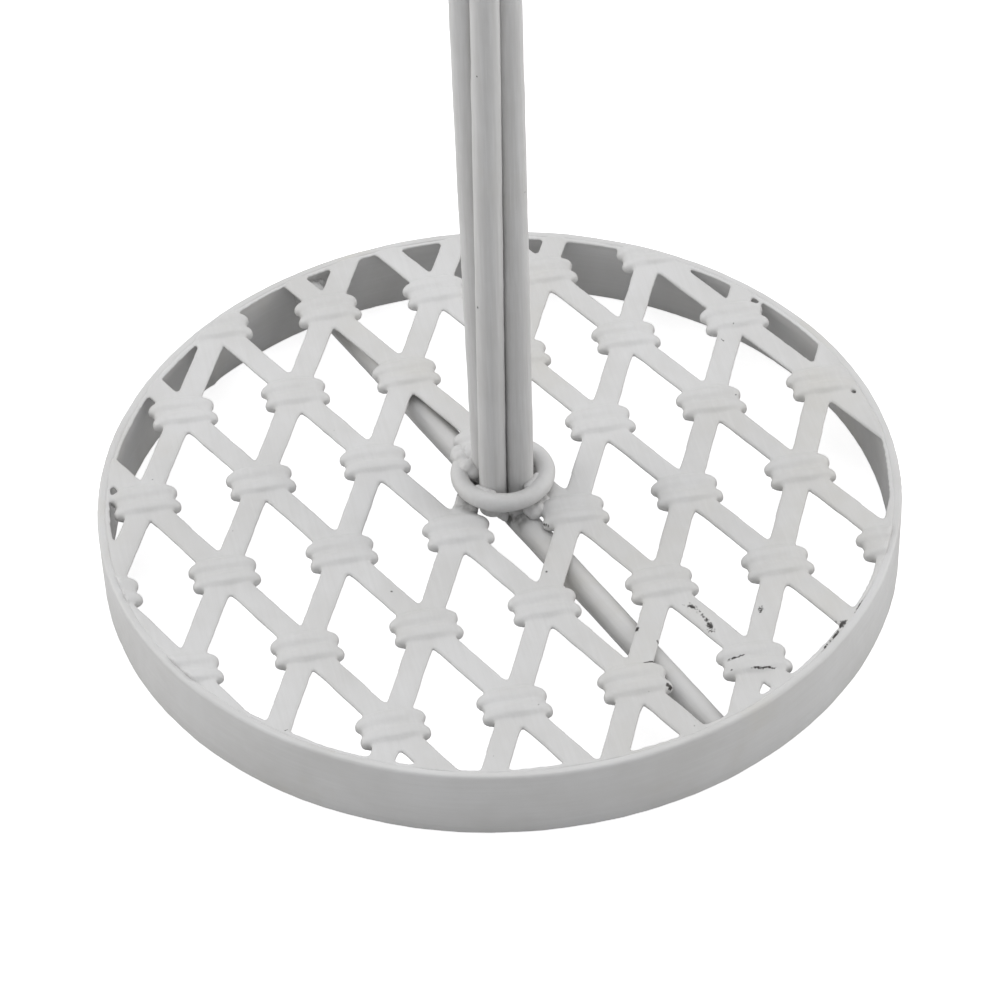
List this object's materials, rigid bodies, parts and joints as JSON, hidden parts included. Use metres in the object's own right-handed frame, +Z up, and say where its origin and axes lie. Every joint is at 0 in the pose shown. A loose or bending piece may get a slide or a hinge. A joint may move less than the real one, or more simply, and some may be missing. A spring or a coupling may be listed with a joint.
{
  "type": "umbrella stand",
  "caption": "Welded iron umbrella stand: round diamond-lattice foot in a flat band, a slowly twisted stem of round rods with two collars, and a hoop at the top.",
  "frame": {"origin": "middle of the circle on which the foot's rim stands, at floor level", "axes": "+Z up along the stem; X along the short diagonal of the lattice's diamonds, Y along the long one"},
  "size_m": [0.26, 0.26, 0.6],
  "materials": {
    "paint": "thick brushed off-white oil paint over iron, semi-gloss, chipped and stained in places"
  },
  "bodies": {
    "root": {"base_rim": "paint", "lattice_disc": "paint", "crossbar": "paint", "crossbar_end_welds": "paint", "stem_foot_welds": "paint", "stem_rod_1": "paint", "stem_rod_2": "paint", "stem_rod_3": "paint", "stem_rod_4": "paint", "lower_collar": "paint", "lower_collar_welds": "paint", "upper_collar": "paint", "upper_collar_welds": "paint", "top_hoop": "paint", "hoop_welds": "paint"}
  },
  "joints": []
}
